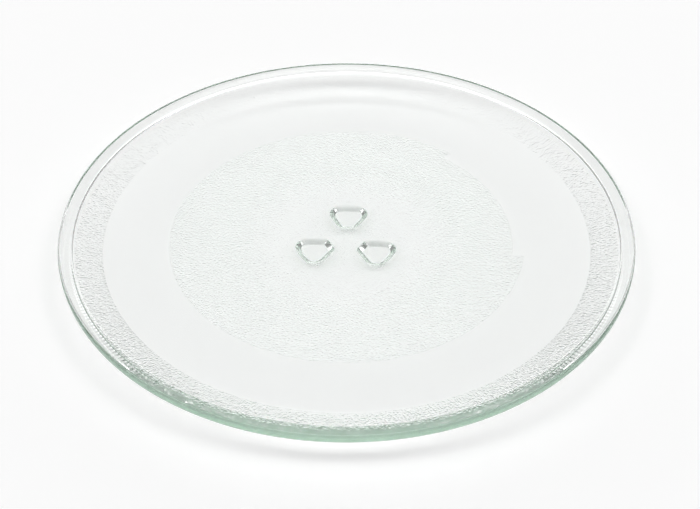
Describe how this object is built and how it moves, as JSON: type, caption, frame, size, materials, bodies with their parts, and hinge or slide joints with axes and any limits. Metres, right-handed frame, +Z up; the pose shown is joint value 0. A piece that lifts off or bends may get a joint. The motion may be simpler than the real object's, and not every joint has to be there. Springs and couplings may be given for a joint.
{
  "type": "microwave turntable plate",
  "caption": "Shallow round pressed-glass plate with a flared wall, a raised flat lip, a smooth roller track underneath and drive lugs under its middle that a coupler turns.",
  "frame": {"origin": "on the plate's axis of rotation, on the plane of the lug feet, which is what the plate stands on when it is laid on a worktop", "axes": "+Z up along the axis of rotation, towards the food side; +X and +Y in the plane of the plate, with one lug just off +Y"},
  "size_m": [0.245, 0.245, 0.0133],
  "materials": {
    "pressed_glass": "clear pressed soda-lime glass with a faint green tint in its thickness, polished on the food side, stippled on the underside apart from the smooth roller track"
  },
  "bodies": {
    "root": {"turntable_plate": "pressed_glass"}
  },
  "joints": []
}
